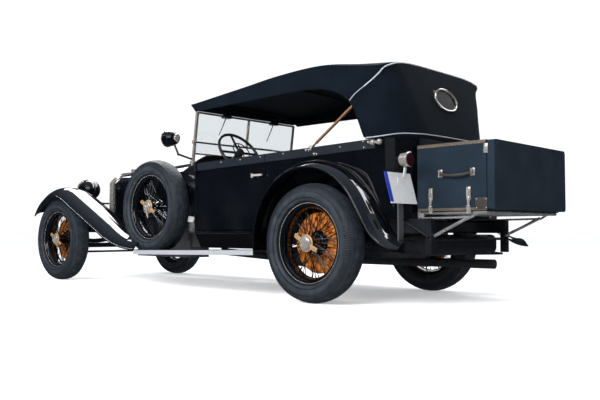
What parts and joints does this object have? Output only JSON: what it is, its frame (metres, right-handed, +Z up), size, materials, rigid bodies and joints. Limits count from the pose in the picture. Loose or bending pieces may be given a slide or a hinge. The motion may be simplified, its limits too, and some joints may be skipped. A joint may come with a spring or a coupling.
{
  "type": "touring car",
  "caption": "Open 1920s touring car with wire wheels, side-mounted spares, sweeping wings, a padded fabric top and a trunk on a rear rack.",
  "frame": {"origin": "on the ground, in the middle of the car's footprint", "axes": "+X forward, +Y to the car's left, +Z up"},
  "size_m": [5.433, 1.807, 1.7997],
  "materials": {
    "body_paint": "gloss black coach enamel",
    "wing_paint": "gloss black enamel with a rolled edge",
    "board_rubber": "ribbed rubber with a bright metal lip",
    "chassis_paint": "semi-gloss black paint",
    "engine_iron": "painted cast iron",
    "exhaust_steel": "heat-darkened steel",
    "radiator_nickel": "polished nickel",
    "lamp_black": "gloss black shell with a nickel rim",
    "lamp_nickel": "polished nickel",
    "bright_nickel": "polished nickel",
    "glass": "clear plate glass, slightly grey",
    "steering_wheel_black": "black moulded rim",
    "seat_leather": "black pleated leather",
    "top_cloth": "black twill cloth with light piping",
    "hood_sticks": "varnished ash sticks with nickel ends",
    "trunk_cloth": "black grained canvas",
    "rack_nickel": "nickelled bars",
    "plate_white": "white plate, black strap, dark red lamp",
    "wheel_paint": "black enamel wires, copper-coloured drum",
    "tyre_rubber": "black rubber"
  },
  "bodies": {
    "chassis": {"aprons": "body_paint", "body_tub": "body_paint", "bonnet_sides": "body_paint", "engine_block": "engine_iron", "exhaust": "exhaust_steel", "fabric_top": "top_cloth", "frame": "chassis_paint", "front_axle": "chassis_paint", "front_seat": "seat_leather", "front_wings": "wing_paint", "fuel_tank": "chassis_paint", "glass": "glass", "headlamps": "lamp_black", "hood_frame": "hood_sticks", "leaf_springs": "chassis_paint", "luggage_rack": "rack_nickel", "radiator": "radiator_nickel", "rear_axle": "chassis_paint", "rear_seat": "seat_leather", "rear_wings": "wing_paint", "running_boards": "board_rubber", "scuttle": "body_paint", "spare_tyres": "tyre_rubber", "spare_wheels": "wheel_paint", "spot_lamp": "lamp_nickel", "steering_column": "chassis_paint", "tail_lamp_and_plate": "plate_white", "trunk_box": "trunk_cloth", "windscreen_frame": "bright_nickel"},
    "wheel_rear_left": {"wire_wheel_rear_left": "wheel_paint", "tyre_rear_left": "tyre_rubber"},
    "wheel_rear_right": {"wire_wheel_rear_right": "wheel_paint", "tyre_rear_right": "tyre_rubber"},
    "wheel_front_left": {"wire_wheel_front_left": "wheel_paint", "tyre_front_left": "tyre_rubber"},
    "wheel_front_right": {"wire_wheel_front_right": "wheel_paint", "tyre_front_right": "tyre_rubber"},
    "knuckle_left": {"knuckle_left": "chassis_paint"},
    "knuckle_right": {"knuckle_right": "chassis_paint"},
    "tie_rod": {"tie_rod": "chassis_paint"},
    "steering_wheel": {"steering_wheel": "steering_wheel_black"},
    "door_left": {"door_left": "body_paint"},
    "door_right": {"door_right": "body_paint"},
    "bonnet_top_left": {"bonnet_top_left": "body_paint"},
    "bonnet_top_right": {"bonnet_top_right": "body_paint"},
    "trunk_lid": {"trunk_lid": "trunk_cloth"}
  },
  "joints": [
    {"name": "steer_left", "type": "hinge", "parent": "chassis", "child": "knuckle_left", "pos_m": [2.22, 0.59, 0.43], "axis": [0, 0, 1], "range_deg": [-28, 28]},
    {"name": "steer_right", "type": "hinge", "parent": "chassis", "child": "knuckle_right", "pos_m": [2.22, -0.59, 0.43], "axis": [0, 0, 1], "range_deg": [-28, 28]},
    {"name": "tie_rod_pivot", "type": "hinge", "parent": "knuckle_left", "child": "tie_rod", "pos_m": [2.04, 0.59, 0.3], "axis": [0, 0, 1], "range_deg": [-28, 28]},
    {"name": "steering_wheel_turn", "type": "hinge", "parent": "chassis", "child": "steering_wheel", "pos_m": [-0.17, 0.35, 1.205], "axis": [-0.8192, 0, 0.5736], "range_deg": [-336, 336]},
    {"name": "wheel_front_left_spin", "type": "hinge", "parent": "knuckle_left", "child": "wheel_front_left", "pos_m": [2.22, 0.75, 0.43], "axis": [0, 1, 0], "continuous": true},
    {"name": "wheel_front_right_spin", "type": "hinge", "parent": "knuckle_right", "child": "wheel_front_right", "pos_m": [2.22, -0.75, 0.43], "axis": [0, 1, 0], "continuous": true},
    {"name": "wheel_rear_left_spin", "type": "hinge", "parent": "chassis", "child": "wheel_rear_left", "pos_m": [-1.43, 0.75, 0.43], "axis": [0, 1, 0], "continuous": true},
    {"name": "wheel_rear_right_spin", "type": "hinge", "parent": "chassis", "child": "wheel_rear_right", "pos_m": [-1.43, -0.75, 0.43], "axis": [0, 1, 0], "continuous": true},
    {"name": "door_left_hinge", "type": "hinge", "parent": "chassis", "child": "door_left", "pos_m": [0.006, 0.69, 0.82], "axis": [0, 0, -1], "range_deg": [0, 65]},
    {"name": "door_right_hinge", "type": "hinge", "parent": "chassis", "child": "door_right", "pos_m": [0.006, -0.69, 0.82], "axis": [0, 0, 1], "range_deg": [0, 65]},
    {"name": "bonnet_left_lift", "type": "hinge", "parent": "chassis", "child": "bonnet_top_left", "pos_m": [0.526, 0, 1.19], "axis": [0.9996, 0, -0.0275], "range_deg": [0, 70]},
    {"name": "bonnet_right_lift", "type": "hinge", "parent": "chassis", "child": "bonnet_top_right", "pos_m": [0.526, 0, 1.19], "axis": [-0.9996, 0, 0.0275], "range_deg": [0, 70]},
    {"name": "trunk_lid_hinge", "type": "hinge", "parent": "chassis", "child": "trunk_lid", "pos_m": [-2.735, 0, 0.646], "axis": [0, -1, 0], "range_deg": [0, 90]}
  ],
  "couplings": [
    {"joint": "steer_right", "follows": "steer_left", "ratio": 1},
    {"joint": "tie_rod_pivot", "follows": "steer_left", "ratio": -1},
    {"joint": "steering_wheel_turn", "follows": "steer_left", "ratio": 12}
  ]
}
